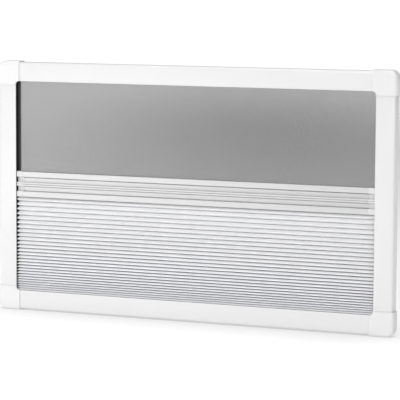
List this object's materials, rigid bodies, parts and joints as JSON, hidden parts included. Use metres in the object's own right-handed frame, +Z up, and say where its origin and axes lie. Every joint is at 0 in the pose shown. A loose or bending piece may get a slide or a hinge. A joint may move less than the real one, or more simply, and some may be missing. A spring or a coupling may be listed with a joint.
{
  "type": "pleated blind with fly screen for a window",
  "caption": "White cassette frame with a roller fly screen above and a pleated blind below, each on its own pull bar.",
  "frame": {"origin": "middle of the box that the whole frame fills", "axes": "+X across the window to the right as seen from the room, +Y from the room into the wall, +Z up"},
  "size_m": [0.907, 0.0274, 0.545],
  "materials": {
    "frame_white": "satin extruded plastic",
    "cover_white": "satin moulded plastic",
    "black_plastic": "matt moulded plastic",
    "bar_aluminium": "satin silver",
    "cap_grey": "fine matt",
    "bare_steel": "zinc plated",
    "tube_aluminium": "mill finish",
    "screen_mesh": "coated glass-fibre thread",
    "pleat_fabric": "stiffened polyester, satin",
    "cord_braid": "braided polyester",
    "brush_pile": "pile"
  },
  "bodies": {
    "frame": {"top_profile": "frame_white", "bottom_profile": "frame_white", "left_profile": "frame_white", "right_profile": "frame_white", "corner_cover_top_left": "cover_white", "corner_cover_top_right": "cover_white", "corner_cover_bottom_left": "cover_white", "corner_cover_bottom_right": "cover_white", "corner_key_top_left": "black_plastic", "corner_key_top_right": "black_plastic", "corner_key_bottom_left": "black_plastic", "corner_key_bottom_right": "black_plastic", "key_screw_top_left_a": "bare_steel", "key_screw_top_left_b": "bare_steel", "key_screw_top_right_a": "bare_steel", "key_screw_top_right_b": "bare_steel", "key_screw_bottom_left_a": "bare_steel", "key_screw_bottom_left_b": "bare_steel", "key_screw_bottom_right_a": "bare_steel", "key_screw_bottom_right_b": "bare_steel", "guide_liner_left": "black_plastic", "guide_liner_right": "black_plastic", "roller_bracket_left": "frame_white", "roller_bracket_right": "frame_white", "spring_rod": "bare_steel", "roller_spring": "bare_steel", "slot_brush": "brush_pile", "blind_clamp_strip": "black_plastic", "cord_anchor_left": "cap_grey", "cord_anchor_middle": "cap_grey", "cord_anchor_right": "cap_grey", "cord_hook_left": "cap_grey", "cord_hook_right": "cap_grey", "fly_screen": "screen_mesh", "pleated_blind": "pleat_fabric", "guide_cord_left": "cord_braid", "guide_cord_middle": "cord_braid", "guide_cord_right": "cord_braid", "side_cord_left": "cord_braid", "side_cord_middle": "cord_braid", "side_cord_right": "cord_braid"},
    "screen_pull_bar": {"screen_bar": "bar_aluminium", "screen_bar_cap_left": "cap_grey", "screen_bar_cap_right": "cap_grey", "latch_magnet_left": "bare_steel", "latch_magnet_right": "bare_steel", "screen_welt": "black_plastic"},
    "blind_pull_bar": {"blind_bar": "bar_aluminium", "blind_bar_cap_left": "cap_grey", "blind_bar_cap_right": "cap_grey", "latch_plate_left": "bare_steel", "latch_plate_right": "bare_steel", "bar_cord_left": "cord_braid", "bar_cord_middle": "cord_braid", "bar_cord_right": "cord_braid"},
    "roller": {"roller_tube": "tube_aluminium", "screen_winding": "screen_mesh", "spring_plug": "black_plastic", "idle_plug": "black_plastic"}
  },
  "joints": [
    {"name": "screen_bar_slide", "type": "slide", "parent": "frame", "child": "screen_pull_bar", "axis": [0, 0, 1], "range_m": [0, 0.196], "deforming": ["fly_screen"]},
    {"name": "blind_bar_slide", "type": "slide", "parent": "frame", "child": "blind_pull_bar", "axis": [0, 0, 1], "range_m": [-0.205, 0], "deforming": ["pleated_blind", "guide_cord_left", "guide_cord_middle", "guide_cord_right", "side_cord_left", "side_cord_middle", "side_cord_right"]},
    {"name": "roller_spin", "type": "hinge", "parent": "frame", "child": "roller", "pos_m": [0, 0.00025, 0.2495], "axis": [1, 0, 0], "range_deg": [0, 1410]}
  ],
  "couplings": [
    {"joint": "roller_spin", "follows": "screen_bar_slide", "rad_per_m": 125}
  ]
}
